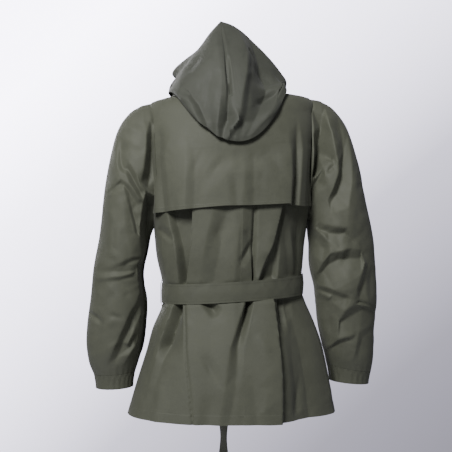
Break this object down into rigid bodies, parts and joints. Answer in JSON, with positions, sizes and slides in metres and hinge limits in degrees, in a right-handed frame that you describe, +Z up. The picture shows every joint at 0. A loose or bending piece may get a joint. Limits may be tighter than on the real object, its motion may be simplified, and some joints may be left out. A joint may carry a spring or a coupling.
{
  "type": "hooded belted raincoat",
  "caption": "Hip-length hooded raincoat with long sleeves, a loose back storm flap, gathered cuffs and a tied cloth belt, hollow in its worn form.",
  "frame": {"origin": "the middle of the neck base, where the coat rests on the shoulders", "axes": "+Z up, the coat's front towards -Y, the wearer's left towards +X"},
  "size_m": [0.6583, 0.3205, 1.0372],
  "materials": {
    "cloth": "matte olive green coated cotton cloth",
    "trim": "matte olive green coated cotton cloth, folded and stitched",
    "snap": "dark green lacquered snap cap"
  },
  "bodies": {
    "root": {"back_left": "cloth", "back_right": "cloth", "back_yoke": "cloth", "front_left": "cloth", "front_right": "cloth", "sleeve_left": "cloth", "sleeve_right": "cloth", "hood_left": "cloth", "hood_right": "cloth", "neckband": "trim", "cuff_left": "trim", "cuff_right": "trim", "belt": "trim", "belt_knot": "trim", "belt_end_long": "trim", "belt_end_short": "trim", "belt_loop_left": "trim", "belt_loop_right": "trim", "snap_1": "snap", "snap_2": "snap", "snap_3": "snap", "snap_4": "snap", "snap_5": "snap"}
  },
  "joints": []
}
